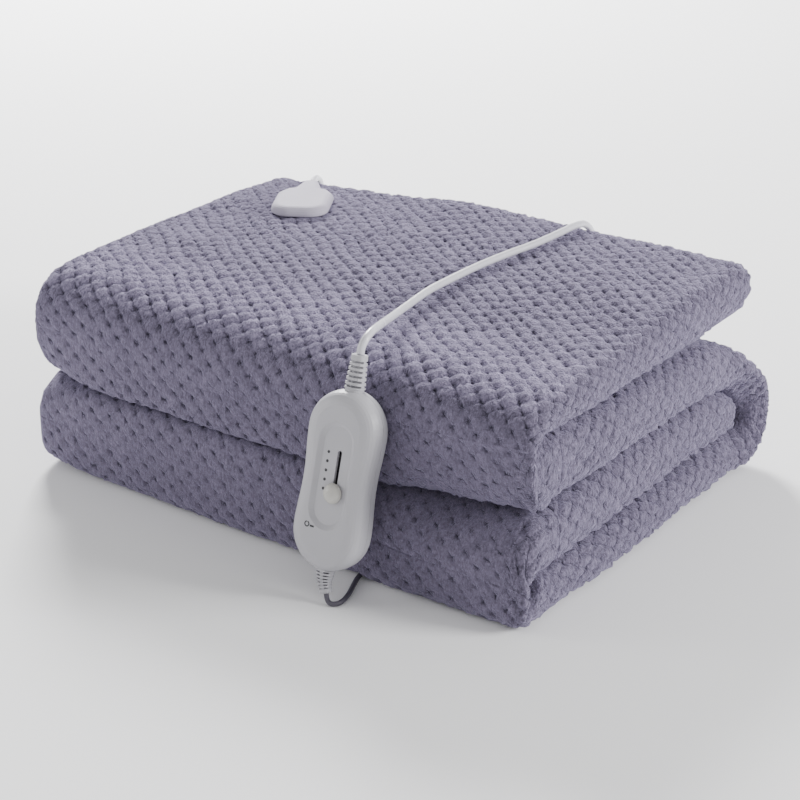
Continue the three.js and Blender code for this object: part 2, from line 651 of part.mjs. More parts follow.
const tie = add('coil_tie', coilTie(), leadGrey());
tie.position.copy(COIL.at);
tie.rotation.set(0, 0, TIE.angle * DEGREE);

// ---------------------------------------------------------------- plug
//
// Drawn with its pins along +X and its flat sides up and down.

const PLUG = { at: vec(34, 203, 7), turn: 180, length: 34, width: 35.3, thick: 13.6 };
const PIN = { radius: 2, length: 19, apart: 18.6 };

function plugBody() {
	const [half, x] = [PLUG.width / 2, PLUG.length];
	const corners = [[0, -half + 3], [3, -half], [9, -half], [24, -9], [x - 2, -6.4], [x, -5],
		[x, 5], [x - 2, 6.4], [24, 9], [9, half], [3, half], [0, half - 3]];
	const outline = (inset) => corners.map(([a, b]) => [
		clamp(-a, -x + inset, -inset), b - Math.sign(b) * inset,
	]);
	const t = PLUG.thick / 2;
	const levels = [[-t, 2.4], [-t + 0.9, 0.8], [-t + 2.4, 0], [t - 2.4, 0], [t - 0.9, 0.8], [t, 2.4]];
	const rings = levels.map(([z, inset]) => outline(inset).map(([a, b]) => vec(a, b, z)));
	return loft(rings, corners.map(([a, b]) => new THREE.Vector2(-a, b)));
}

const plug = new THREE.Group();
plug.position.copy(PLUG.at);
plug.rotation.set(0, 0, PLUG.turn * DEGREE);
object.add(plug);
plug.updateMatrixWorld(true);
const onPlug = (x) => plug.localToWorld(vec(x, 0, 0));

add('plug', plugBody(), leadGrey(), plug);
for (const side of [-1, 1]) {
	const pin = new THREE.CylinderGeometry(PIN.radius, PIN.radius, PIN.length, 16);
	pin.rotateZ(Math.PI / 2);
	pin.translate(CLEAR + PIN.length / 2, (side * PIN.apart) / 2, 0);
	add(side < 0 ? 'plug_pin_1' : 'plug_pin_2', pin, pinMetal(), plug);
}

const reliefEnd = PLUG.length + 16;
const plugCurve = new THREE.LineCurve3(onPlug(-PLUG.length - CLEAR), onPlug(-reliefEnd));
add('plug_relief', relief(plugCurve, vec(0, 1, 0), {
	base: [9.4, 8.4], tip: [5.6, 5.2], core: 2, webs: [[0, 20], [180, 20]], inside: 0, ribs: 4, sides: 12,
}), leadGrey());

const END_ROUTE = [
	[84.4, 203, 7], [88, 203.1, 7.4], [92.5, 203.9, 9.2], [97, 205.2, 12.4], [101.5, 206.8, 15.8],
	[106.5, 208.5, 18], [112, 210, 18.3], [118, 210.9, 18.3], [124, 211, 18.3],
];
add('lead_end', cordTube(points(END_ROUTE), LEAD_DIAMETER), leadGrey());

export default object;
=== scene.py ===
"""A folded electric underblanket of plush cloth, with its controller, cord, mains lead and plug."""

import math
from functools import lru_cache

import bpy
import numpy as np
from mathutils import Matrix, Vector


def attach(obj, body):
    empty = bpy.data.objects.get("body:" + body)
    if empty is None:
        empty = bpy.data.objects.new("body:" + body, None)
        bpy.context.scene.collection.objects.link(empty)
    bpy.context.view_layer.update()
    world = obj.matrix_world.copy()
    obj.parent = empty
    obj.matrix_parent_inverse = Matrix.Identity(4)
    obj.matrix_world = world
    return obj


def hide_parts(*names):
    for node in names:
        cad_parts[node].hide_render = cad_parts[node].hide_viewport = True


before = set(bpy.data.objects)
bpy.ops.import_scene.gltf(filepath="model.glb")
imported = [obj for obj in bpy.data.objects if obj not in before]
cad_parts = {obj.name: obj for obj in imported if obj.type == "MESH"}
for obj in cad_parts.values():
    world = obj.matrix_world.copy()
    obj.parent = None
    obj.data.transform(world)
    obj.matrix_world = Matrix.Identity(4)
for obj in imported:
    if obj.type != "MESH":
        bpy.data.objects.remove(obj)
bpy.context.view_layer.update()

MM = 0.001
BODY = "underblanket"


# ---- helpers

def put(name, data):
    """A new object in the scene."""
    thing = bpy.data.objects.new(name, data)
    bpy.context.scene.collection.objects.link(thing)
    return thing


def aim(name, data, at, direction):
    """A camera or a light that looks along a direction."""
    thing = put(name, data)
    thing.location = at
    thing.rotation_mode = "QUATERNION"
    thing.rotation_quaternion = direction.to_track_quat("-Z", "Y")
    return thing


def new_mesh(name, points, faces, rounded):
    mesh = bpy.data.meshes.new(name)
    mesh.from_pydata(points, [], faces)
    mesh.validate()
    mesh.polygons.foreach_set("use_smooth", [rounded] * len(mesh.polygons))
    return mesh


def piece(name, data, finish):
    """A visible piece that moves with the blanket."""
    thing = put(name, data)
    thing.data.materials.append(finish)
    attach(thing, BODY)
    return thing


# ---- camera

VIEW_AZIMUTH = math.radians(34.14)
VIEW_ELEVATION = math.radians(24.19)
CAMERA_AT = (0.789, -1.155, 0.673)
FOCAL_LENGTH = 100.575
SENSOR_WIDTH = 36


def stand_camera():
    back = Vector((
        math.sin(VIEW_AZIMUTH) * math.cos(VIEW_ELEVATION),
        -math.cos(VIEW_AZIMUTH) * math.cos(VIEW_ELEVATION),
        math.sin(VIEW_ELEVATION),
    ))
    data = bpy.data.cameras.new("camera")
    data.lens = FOCAL_LENGTH
    data.sensor_width = SENSOR_WIDTH
    bpy.context.scene.camera = aim("camera", data, CAMERA_AT, -back)


# ---- making materials

class Wire:
    """A value in a shader. Working with it adds the Math nodes."""

    def __init__(self, finish, socket):
        self.finish = finish
        self.socket = socket

    def math(self, operation, *others):
        values = dict(enumerate([self, *others]))
        return self.finish.node("Math", {"operation": operation}, values)

    def __add__(self, other):
        return self.math("ADD", other)

    def __sub__(self, other):
        return self.math("SUBTRACT", other)

    def __rsub__(self, other):
        return self.finish.node("Math", {"operation": "SUBTRACT"}, {0: other, 1: self})

    def __mul__(self, other):
        return self.math("MULTIPLY", other)

    __radd__ = __add__
    __rmul__ = __mul__

    def clamped(self):
        """Kept between 0 and 1."""
        held = self.math("MULTIPLY_ADD", 1.0, 0.0)
        held.socket.node.use_clamp = True
        return held

    def off_line(self):
        """How far past the nearest whole number, from minus to plus a half."""
        return (self + 0.5).math("FRACT") - 0.5

    def from_line(self):
        """Distance to the nearest whole number, from 0 to a half."""
        return self.off_line().math("ABSOLUTE")

    def bell(self, width):
        """1 at zero, falling to nothing a few widths away."""
        return (self * self * (-1 / width ** 2)).math("EXPONENT")


class Finish:
    """One procedural material."""

    def __init__(self, name, **shader):
        self.material = bpy.data.materials.new(name)
        self.material.use_nodes = True
        self.tree = self.material.node_tree
        self.tree.nodes.clear()
        output = self.tree.nodes.new("ShaderNodeOutputMaterial")
        self.shader = self.tree.nodes.new("ShaderNodeBsdfPrincipled")
        self.tree.links.new(self.shader.outputs[0], output.inputs["Surface"])
        for key, value in shader.items():
            label = key.replace("_", " ").title().replace("Ior", "IOR")
            self.shader.inputs[label].default_value = value

    def node(self, kind, settings, values, result=0):
        """Adds a node with its settings, and a value or a wire for each socket."""
        node = self.tree.nodes.new("ShaderNode" + kind)
        for key, value in settings.items():
            setattr(node, key, value)
        for key, value in values.items():
            socket = node.inputs[key] if isinstance(key, int) else self.named(node.inputs, key)
            if isinstance(value, Wire):
                self.tree.links.new(value.socket, socket)
            else:
                socket.default_value = value
        output = node.outputs[result] if isinstance(result, int) else self.named(node.outputs, result)
        return Wire(self, output)

    @staticmethod
    def named(sockets, key):
        return next(s for s in sockets if key in (s.identifier, s.name))

    def place(self):
        """Position in metres."""
        return self.node("NewGeometry", {}, {}, "Position")

    def stretched(self, x, y, z):
        """Position scaled by x, y and z."""
        return self.node("VectorMath", {"operation": "MULTIPLY"}, {0: self.place(), 1: (x, y, z)})

    def noise(self, size, detail=2.0, roughness=0.5, at=None):
        """Noise whose blobs are about size metres across, from 0 to 1."""
        values = {"Scale": 1 / size, "Detail": detail, "Roughness": roughness, "Vector": at or self.place()}
        return self.node("TexNoise", {}, values, "Fac")

    def mark(self, name, result="Fac"):
        """What the mesh holds under a name at each point."""
        return self.node("Attribute", {"attribute_name": name}, {}, result)

    def mix(self, share, first, second):
        values = {"Factor_Float": share, "A_Color": first, "B_Color": second}
        return self.node("Mix", {"data_type": "RGBA"}, values, "Result_Color")

    def bump(self, height, distance, strength):
        values = {"Height": height, "Distance": distance, "Strength": strength}
        return self.node("Bump", {}, values, "Normal")

    def give(self, name, wire):
        self.tree.links.new(wire.socket, self.shader.inputs[name])


def tint(red, green, blue):
    """A colour from its screen values, 0 to 255."""

    def linear(value):
        value /= 255
        return value / 12.92 if value <= 0.04045 else ((value + 0.055) / 1.055) ** 2.4

    return (linear(red), linear(green), linear(blue), 1.0)


# ---- cords

CORD_DIAMETER = 5
LEAD_DIAMETER = 3.2

# From the housing's nose over the back edge to the floor, up again, across the top and down to the
# controller.
CORD_ROUTE = [
    (-145.9, 107.9, 143.3), (-150.2, 116.2, 142.2), (-155, 125.6, 140.2), (-159.6, 134.6, 136.6),
    (-163.6, 142.6, 129.8), (-165.6, 148.6, 117.6), (-166.3, 153.4, 101.5), (-165, 157.2, 81),
    (-161, 160, 58), (-154, 161.5, 34), (-143, 163.5, 15), (-127, 166, 4.6), (-103, 169, 2.8),
    (-73, 171.5, 2.8), (-42, 172.5, 2.8), (-12, 171.5, 2.8), (15, 168.5, 2.8), (38, 164.5, 5),
    (54, 160.5, 15),
    (63.5, 158, 33), (68, 156.3, 57), (70, 154.2, 83), (71, 151, 107), (71.4, 147.2, 125.6),
    (71.3, 142.4, 138.9), (71, 133, 147.2), (70.6, 120, 149.9), (69.6, 101, 150.2), (66.4, 74, 149.9),
    (60.4, 46, 149.5), (56.2, 19, 149.2), (53.8, -8, 148.8), (53, -36, 148.8), (57.5, -70, 149.6),
    (62.5, -93, 151.6), (68.4, -111, 155), (74, -126, 158.2), (77.6, -137, 159.8), (78.8, -144.6, 158),
    (78.4, -147.5, 154.6), (78, -148.8, 150.1),
]

# From the controller under the stack and out at the back to the coil.
LEAD_ROUTE = [
    (80.76, -190.74, 6.5), (81.7, -191.5, 4.3), (83.6, -192.6, 2.5), (86.4, -192.6, 1.9),
    (89, -190.2, 1.9), (89.6, -186, 1.9), (88, -178, 1.9), (84.4, -168, 1.9), (80.4, -157, 1.9),
    (78.4, -146, 1.9), *((78, y, 1.9) for y in (-130, -90, -40, 10, 60, 110, 148)),
    (79.4, 158, 1.9), (85, 167.5, 1.9), (95, 173.6, 1.9), (105.5, 175.2, 1.9), (115.6, 175.2, 1.9),
]

# From the plug's relief up onto the coil.
END_ROUTE = [
    (84.4, 203, 7), (88, 203.1, 7.4), (92.5, 203.9, 9.2), (97, 205.2, 12.4), (101.5, 206.8, 15.8),
    (106.5, 208.5, 18), (112, 210, 18.3), (118, 210.9, 18.3), (124, 211, 18.3),
]

# The coil's middle, the angle where the lead comes in, and the winding's angle, radius and height:
# up an outer column of four turns, down a middle one and up an inner one.
COIL_AT = (128, 196)
COIL_START = 270
WINDING = [
    (0, 20.8, 1.9), (1440, 20.8, 14.7), (1480, 17.6, 14.7), (2920, 17.6, 1.9), (2960, 14.4, 1.9),
    (4400, 14.4, 14.7), (4490, 15.2, 18.3),
]
TURN_POINTS = 18


def coil_route():
    angles, radii, heights = np.array(WINDING).T
    at = np.arange(0, angles[-1], 360 / TURN_POINTS)[1:]
    turned = np.radians(at + COIL_START)
    radius = np.interp(at, angles, radii)
    x = COIL_AT[0] + radius * np.cos(turned)
    y = COIL_AT[1] + radius * np.sin(turned)
    return list(zip(x, y, np.interp(at, angles, heights)))


def knot_slopes(points):
    """How a smooth curve through the points reaches and leaves each of them."""
    padded = np.vstack([2 * points[0] - points[1], points, 2 * points[-1] - points[-2]])
    apart = np.linalg.norm(np.diff(padded, axis=0), axis=1) ** 0.5
    leaving, arriving = [], []
    for i in range(1, len(padded) - 2):
        p0, p1, p2, p3 = padded[i - 1:i + 3]
        d0, d1, d2 = apart[i - 1:i + 2]
        leaving.append(((p1 - p0) / d0 - (p2 - p0) / (d0 + d1) + (p2 - p1) / d1) * d1)
        arriving.append(((p2 - p1) / d1 - (p3 - p1) / (d1 + d2) + (p3 - p2) / d2) * d1)
    return [leaving[0], *arriving], [*leaving, arriving[-1]]


def cord_curve(name, route, diameter, finish):
    """A round cord along a smooth curve through the route's points."""
    points = np.array(route, float)
    arriving, leaving = knot_slopes(points)
    curve = bpy.data.curves.new(name, "CURVE")
    curve.dimensions = "3D"
    curve.resolution_u = 8
    curve.bevel_depth = diameter / 2 * MM
    curve.bevel_resolution = 4
    curve.use_fill_caps = True
    spline = curve.splines.new("BEZIER")
    spline.bezier_points.add(len(points) - 1)
    for knot, point, before, after in zip(spline.bezier_points, points, arriving, leaving):
        knot.handle_left_type = knot.handle_right_type = "FREE"
        knot.co = Vector(point) * MM
        knot.handle_left = Vector(point - before / 3) * MM
        knot.handle_right = Vector(point + after / 3) * MM
    return piece(name, curve, finish)


# ---- the folded blanket
#
# The cloth is folded in four along X to a pack of four layers, and the pack in four along Y. Seen
# from +X it runs: top band A from the back to the front, front fold U, band B back, back fold K,
# bottom band D to the front, front fold L, band C to its end inside.

STACK_WIDTH = 400
STACK_DEPTH = 285
STACK_HEIGHT = 142
BAND_GAP = 1.6
LAYER = 7.7
BAND = (STACK_HEIGHT - 3 * BAND_GAP) / 4
HALF = BAND / 2
STEP_UP = BAND + BAND_GAP
LAYER_GAP = (BAND - 4 * LAYER) / 3
MIDDLE = {part: HALF + i * STEP_UP for i, part in enumerate("DCBA")}
FACE_UPWARD = {"A": 1, "B": -1, "C": -1, "D": 1}  # -1 where the pack's upper face is turned down

FRONT = -STACK_DEPTH / 2
FOLD_REACH = 34.5
FOLD_Y = FRONT + FOLD_REACH
BACK_FOLD_Y = 90
HEM_Y = {"A": 141, "C": 122}

# Heights of the tops of bands D, C and B, the underside of band A and its upper face, by x from left
# to right, and in each of those by y from front to back.
HEIGHT_X = [-200, 0, 130, 200]
HEIGHT_Y = [-142, -40, 60, 142]
HEIGHTS = np.array([
    [(34, 65, 103, 104.6, 139), (33, 67, 102, 103.6, 140),
     (32, 66, 99, 102, 137.5), (28, 58, 92, 103, 133.5)],
    [(34, 66, 102, 103.6, 140), (33, 68, 105, 106.6, 143),
     (33, 68, 105, 108, 146), (28, 58, 93, 110, 146)],
    [(29, 62, 111, 112.6, 141.5), (31, 71, 110, 111.6, 142.5),
     (30.5, 68.5, 107.5, 110, 146.5), (28, 57, 91.5, 111.5, 145.5)],
    [(30, 67, 116, 117.6, 142), (30, 72, 112, 113.6, 142.5),
     (29.5, 69, 106, 109, 146.5), (28, 56, 91, 108, 145.5)],
])
# The same lines in the evenly folded stack.
EVEN = np.array([0, BAND + BAND_GAP / 2, 2 * BAND + 1.5 * BAND_GAP, 3 * BAND + 2 * BAND_GAP,
                 3 * BAND + 3 * BAND_GAP, STACK_HEIGHT])

# How far right and left each part of the pack reaches.
RIGHT_END = {"U": 200, "K": 215, "L": 204, "A": 200, "B": 206, "C": 205, "D": 208}
LEFT_END = {"U": -198, "K": -201, "L": -198, "A": -197.5, "B": -200, "C": -199, "D": -199}
DRAWN_IN = {"K": 14}  # how far the fold's right end is drawn in on the upper face of the pack
HEM_ROUND = 14  # radius of the pack's corners at the hems
THINNEST = 0.3  # the pack's thickness at its hems, as a share of the full one
END_SQUARE = 2.7  # how square the right ends are, and the lips
LIP_SQUARE = 9
LIP = {"thick": 8, "stands_out": 1.5}
# Hollows at the right ends: how deep, and the middle and the width of each, behind the lip, below
# where the bands meet, and in degrees round the back fold.
LIP_GROOVE = {"deep": 1.5, "behind": (12, 5)}
LIP_HOLLOW = {"deep": 17, "behind": (19, 10), "below": (3, 7), "at_upper_fold": 0.2}
BACK_HOLLOW = {"deep": 10, "round": (-26, 26)}
# The front left corner is round underneath: how far it stands off the surface, and up to where.
CORNER_LIFT = 6.5
CORNER_HEIGHT = 60
# The hems' radius, and how far the two outermost layers' hems and the inner fold stand in.
HEM = 3.0
FIRST_HEM_IN = 5
FOURTH_HEM_IN = 2
INNER_FOLD_IN = 1.5
# The groove under the stack for the mains lead.
GROOVE = {"x": 78, "half": 3.2, "rim": 9, "height": 4.4}

PUFF = 6  # steps of the mesh for each puff of the plush
PUFF_SIZE = 13
ROW_APART = 2.15  # mm between the mesh's rows on the flat
PUFF_LENGTH = {"A": 12.4, "U": 13.8, "L": 13.8}  # along the pack, and PUFF_SIZE in its other parts
# How far the rows of puffs have slipped to the right at the top's back and front.
SLIP = (-16, 16)
# The pile in mm, and how much deeper a crisp dimple is.
PILE = {"stands": 0.9, "swell": 0.7, "stir": 0.4, "dimple": 1, "crisp": 2.5}
# How wide the valleys and their crossings are, as shares of a puff, for both sets.
VALLEY = (0.13, 0.12)
CROSSING = (0.27, 0.22)


def smooth(low, high, value):
    t = np.clip((value - low) / (high - low), 0, 1)
    return t * t * (3 - 2 * t)


def blend(first, second, share):
    return first + (second - first) * share


def swelling(value, middle, width):
    """1 in the middle, falling to nothing a few widths away."""
    return np.exp(-((value - middle) / width) ** 2)


def squared(value, power):
    """A sine or cosine for a rounded square: power 2 is a circle, more is squarer."""
    return np.sign(value) * np.abs(value) ** (2 / power)


def even_steps(place, low, high, steps):
    """Values from low to high, evenly apart along the line that place gives, and its length."""
    values = np.linspace(low, high, 2001)
    line = place(values)
    along = np.concatenate([[0], np.cumsum(np.linalg.norm(np.diff(line, axis=0), axis=1))])
    return np.interp(np.linspace(0, along[-1], steps + 1), along, values), along[-1]


def settle(x, y, z):
    """Moves a height in the even stack to its height in the real one, with no kink at the lines."""

    def cell(stops, value):
        value = np.clip(value, stops[0], stops[-1])
        i = np.clip(np.searchsorted(stops, value, side="left") - 1, 0, len(stops) - 2)
        low, high = np.array(stops)[i], np.array(stops)[i + 1]
        return i, smooth(low, high, value)[..., None]

    def pick(table, index):
        return np.take_along_axis(table, index[..., None], axis=-1)[..., 0]

    i, s = cell(HEIGHT_X, x)
    j, t = cell(HEIGHT_Y, y)
    left = blend(HEIGHTS[i, j], HEIGHTS[i, j + 1], t)
    right = blend(HEIGHTS[i + 1, j], HEIGHTS[i + 1, j + 1], t)
    lines = blend(left, right, s)
    lines = np.concatenate([np.zeros_like(lines[..., :1]), lines], axis=-1)
    rise = np.diff(lines, axis=-1) / np.diff(EVEN)
    inner = 2 * rise[..., :-1] * rise[..., 1:] / (rise[..., :-1] + rise[..., 1:])
    slopes = np.concatenate([rise[..., :1], inner, rise[..., -1:]], axis=-1)
    k = np.clip(np.searchsorted(EVEN, z, side="left") - 1, 0, len(EVEN) - 2)
    width = EVEN[k + 1] - EVEN[k]
    u = (z - EVEN[k]) / width
    eased = u * u * (3 - 2 * u)
    leaving, arriving = u * (1 - u) ** 2, u * u * (u - 1)
    bent = width * (leaving * pick(slopes, k) + arriving * pick(slopes, k + 1))
    return blend(pick(lines, k), pick(lines, k + 1), eased) + bent


def front_shift(x, y, z):
    """The front stands further out at the right, and more so at the lower fold."""
    along = (x + STACK_WIDTH / 2) / STACK_WIDTH
    share = smooth(40, -FRONT, -y)
    return share * blend(-0.5 - 17.5 * along, 1.5 - 9 * along, smooth(0.35, 0.65, z / STACK_HEIGHT))


# The folds: their axes, which way they bulge, how far the pack's middle is from the axis, whether its
# upper face is outside, how deep its faces reach, and how square the upper and lower halves are.
FOLDS = {
    "U": {"y": FOLD_Y, "z": (MIDDLE["A"] + MIDDLE["B"]) / 2, "way": -1, "middle": STEP_UP / 2,
          "sense": 1, "inner": 13, "outer": FOLD_REACH, "square": (2.2, 2.5)},
    "K": {"y": BACK_FOLD_Y, "z": MIDDLE["C"], "way": 1, "middle": STEP_UP,
          "sense": -1, "inner": 38, "outer": 59, "square": (2.2, 3)},
    "L": {"y": FOLD_Y, "z": (MIDDLE["C"] + MIDDLE["D"]) / 2, "way": -1, "middle": STEP_UP / 2,
          "sense": -1, "inner": 13, "outer": FOLD_REACH, "square": (2.6, 6.5)},
}


def fold_place(part, degrees, n, x=0):
    """y and z in the even stack at an angle round a fold, for heights n over the pack's middle."""
    fold = FOLDS[part]
    upper, lower = fold["square"]
    # the front folds are pressed flat where they meet
    pressed = 7.5 * smooth(-190, -130, x) * (1 - smooth(20, 130, x))
    if part == "U":
        lower = lower + pressed
    if part == "L":
        upper = upper + pressed
    half = fold["middle"] + HALF
    angle = np.radians(degrees)
    share = (fold["middle"] + fold["sense"] * n) / half
    square = np.where(np.sin(angle) < 0, lower, upper)
    least = (fold["middle"] - HALF) / half
    depth = blend(fold["inner"], fold["outer"], (share - least) / (1 - least))
    y = fold["y"] + fold["way"] * depth * squared(np.cos(angle), square)
    z = fold["z"] + share * half * squared(np.sin(angle), square)
    return np.stack(np.broadcast_arrays(y, z), axis=-1)


# The pack from hem to hem: its parts, and where each starts and ends, by y or by degrees round a fold.
RUN = (("A", HEM_Y["A"], FOLD_Y), ("U", 90, -90), ("B", FOLD_Y, BACK_FOLD_Y), ("K", 90, -90),
       ("D", BACK_FOLD_Y, FOLD_Y), ("L", -90, 90), ("C", FOLD_Y, HEM_Y["C"]))


def pack_stations():
    """The rows of the mesh along the pack: each one's part, and its y or its angle."""
    stations = []
    for part, start, end in RUN:
        row = PUFF_LENGTH.get(part, PUFF_SIZE) / PUFF
        if part in FOLDS:
            def place(degrees):
                return fold_place(part, degrees, FOLDS[part]["sense"] * HALF)

            length = even_steps(place, start, end, 2)[1]
            values = even_steps(place, start, end, round(length / row))[0]
        else:
            values = np.linspace(start, end, max(2, round(abs(end - start) / row)) + 1)
        stations += [(part, value) for value in values[:-1]]
    return stations + [("C", HEM_Y["C"])]


def first_rows(stations):
    """The first row of the mesh in each part of the pack."""
    names = [part for part, _ in stations]
    return {part: names.index(part) for part in dict.fromkeys(names)}


# The parts of the section in order round the cloth, and how many columns of the mesh each has. The
# layers count from the innermost hem, and the third and fourth show outside.
COLUMNS = {
    "first_up": 4, "inner_fold_in": 3, "second_under": 4, "left_fold": 12, "third_up": 147,
    "right_fold": 28, "fourth_under": 147, "fourth_hem": 4, "fourth_up": 4, "right_fold_in": 8,
    "third_under": 4, "left_fold_in": 4, "second_up": 4, "inner_fold": 6, "first_under": 4,
    "first_hem": 4,
}
FIRST = dict(zip(COLUMNS, np.cumsum([0, *COLUMNS.values()])))
SPAN = {part: slice(FIRST[part], FIRST[part] + count) for part, count in COLUMNS.items()}
TOTAL = sum(COLUMNS.values())
CORNER = 8  # columns from the pack's face round the corner to its right end
OUTER = 1.5 * (LAYER + LAYER_GAP)
INNER = OUTER / 3
SKIN = LAYER / 2


@lru_cache(None)
def end_arc(square):
    """Angles evenly apart round the pack's right end, and the length round it."""

    def place(degrees):
        angle = np.radians(degrees)
        return HALF * np.stack([squared(np.cos(angle), square), squared(np.sin(angle), square)], -1)

    angles, length = even_steps(place, 90, -90, 400)
    return np.radians(angles), length


def pack_section(left, right, drawn_in, slip, square):
    """One cross-section of the pack as x and n, in one closed line round the cloth. Its upper face
    ends short of the right end by drawn_in, and the columns have moved along the line by slip."""
    fold = right - HALF
    inner_fold = fold - INNER_FOLD_IN - drawn_in
    left_fold = left + INNER + SKIN
    first_hem, fourth_hem = left + FIRST_HEM_IN, left + FOURTH_HEM_IN
    x, n = [], []

    def drawn(angle):
        return drawn_in * smooth(-0.5, 0.5, np.sin(angle))

    def straight(part, x0, x1, height):
        share = np.linspace(0, 1, COLUMNS[part] + 1)[:-1]
        x.append(blend(x0, x1, share))
        n.append(np.full(len(share), height))

    def arc(part, cx, cn, radius, start, end):
        angle = np.radians(np.linspace(start, end, COLUMNS[part] + 1)[:-1])
        x.append(cx + radius * np.cos(angle))
        n.append(cn + radius * np.sin(angle))

    def hem_edge(part, edge, middle):
        angle = np.linspace(-math.pi / 2, math.pi / 2, COLUMNS[part] + 1)[:-1]
        x.append(edge + HEM - HEM * np.cos(angle))
        n.append(middle + SKIN * np.sin(angle))

    def shown_outside():
        angles, around = end_arc(square)
        top, under = fold - drawn_in - left_fold, fold - fourth_hem - HEM
        shown = "third_up", "right_fold", "fourth_under"
        share = [np.linspace(0, 1, COLUMNS[part] + 1)[:-1] for part in shown]
        along = np.concatenate([
            share[0] * (top + slip),
            top + share[1] * around + slip,
            top + around + share[2] * under + slip * (1 - share[2]),
        ])
        turned = np.clip((along - top) / around, 0, 1) * (len(angles) - 1)
        angle = np.interp(turned, np.arange(len(angles)), angles)
        past = np.clip(along - top - around, 0, None)
        short = np.clip(top - along, 0, None)
        x.append(fold + HALF * squared(np.cos(angle), square) - drawn(angle) - past - short)
        n.append(HALF * squared(np.sin(angle), square))

    straight("first_up", first_hem + HEM, inner_fold, -INNER + SKIN)
    arc("inner_fold_in", inner_fold, 0, INNER - SKIN, -90, 90)
    straight("second_under", inner_fold, left_fold, INNER - SKIN)
    arc("left_fold", left_fold, 2 * INNER, INNER + SKIN, -90, -270)
    shown_outside()
    hem_edge("fourth_hem", fourth_hem, -OUTER)
    straight("fourth_up", fourth_hem + HEM, fold, -OUTER + SKIN)
    angle = np.radians(np.linspace(-90, 90, COLUMNS["right_fold_in"] + 1)[:-1])
    x.append(fold + (OUTER - SKIN) * squared(np.cos(angle), END_SQUARE) - drawn(angle))
    n.append((OUTER - SKIN) * squared(np.sin(angle), END_SQUARE))
    straight("third_under", fold - drawn_in, left_fold, OUTER - SKIN)
    arc("left_fold_in", left_fold, 2 * INNER, INNER - SKIN, -270, -90)
    straight("second_up", left_fold, inner_fold, INNER + SKIN)
    arc("inner_fold", inner_fold, 0, INNER + SKIN, 90, -90)
    straight("first_under", inner_fold, first_hem + HEM, -INNER - SKIN)
    hem_edge("first_hem", first_hem, -INNER)
    return np.concatenate(x), np.concatenate(n)


def hem_share(distance):
    """What is left of the pack's thickness near a hem."""
    left = np.clip(distance / HALF, 0, 1)
    return max(THINNEST, math.sqrt(1 - (1 - left) ** 2))


def right_end(part, y):
    """Right end of a band, a little inside the front fold's where it comes out of it."""
    front = {"B": "U", "C": "L", "D": "L"}.get(part)
    if front is None:
        return RIGHT_END[part]
    return blend(RIGHT_END[part], RIGHT_END[front] - 1, smooth(-55, FOLD_Y, y))


def slip_at(part, value):
    """How far the rows of puffs have slipped to the right at a station."""
    if part == "A":
        return blend(SLIP[0], SLIP[1], (HEM_Y["A"] - value) / (HEM_Y["A"] - FOLD_Y))
    if part == "U":
        return SLIP[1] * (value + 90) / 180
    return 0


def reach_of(part, value):
    """Left and right end and the fold's drawing-in at a station."""
    beside = {"U": "AB", "K": "BD", "L": "CD"}
    if part not in beside:
        inset = 0
        if part in HEM_Y:
            left = max(HEM_ROUND - abs(value - HEM_Y[part]), 0)
            inset = HEM_ROUND - math.sqrt(HEM_ROUND ** 2 - left ** 2)
        return LEFT_END[part] + inset / 2, right_end(part, value) - inset, 0
    along = (90 - value) / 180
    share = smooth(0, 0.16, min(along, 1 - along))
    near = beside[part][0 if along < 0.5 else 1]
    left = blend(LEFT_END[near], LEFT_END[part], share)
    right = blend(right_end(near, FOLDS[part]["y"]), RIGHT_END[part], share)
    return left, right, DRAWN_IN.get(part, 0) * share


def lip_share(part, degrees):
    """1 where a front fold's right end is a thin lip round the lower band, 0 where it is round."""
    if part not in "UL":
        return 0.0
    foot = smooth(-88, -50, degrees) if part == "U" else smooth(-45, -12, degrees)
    return float(smooth(16, -8, degrees) * foot)


def tucked_end(part, share, x, n, even):
    """Takes a front fold's right end in behind its lip, as if the two bands went on up to it."""
    upper, lower = (MIDDLE["A"], MIDDLE["B"]) if part == "U" else (MIDDLE["C"], MIDDLE["D"])
    depth = HALF - n * FOLDS[part]["sense"]
    meeting = (upper + lower) / 2
    middle = np.where(even > meeting, upper, lower)
    beside = np.clip(np.abs(even - middle) / HALF, 0, 1)
    edge = blend(HALF, LIP["thick"], share)
    taken = smooth(edge - 2, edge + 4, depth) * (x > x.max() - HALF)
    end = x.max() - LIP["stands_out"] * share
    end = end - HALF * (1 - (1 - beside ** END_SQUARE) ** (1 / END_SQUARE))
    # a groove behind the lip, and under the upper band a hollow, shallow at the upper fold
    below = meeting - even
    hollow = share * swelling(depth, *LIP_HOLLOW["behind"]) * swelling(below, *LIP_HOLLOW["below"])
    if part == "U":
        hollow = hollow * LIP_HOLLOW["at_upper_fold"]
    groove = share * swelling(depth, *LIP_GROOVE["behind"])
    end = end - LIP_HOLLOW["deep"] * hollow - LIP_GROOVE["deep"] * groove
    return np.where(x < end, x, blend(x, end, taken)), taken * share, hollow


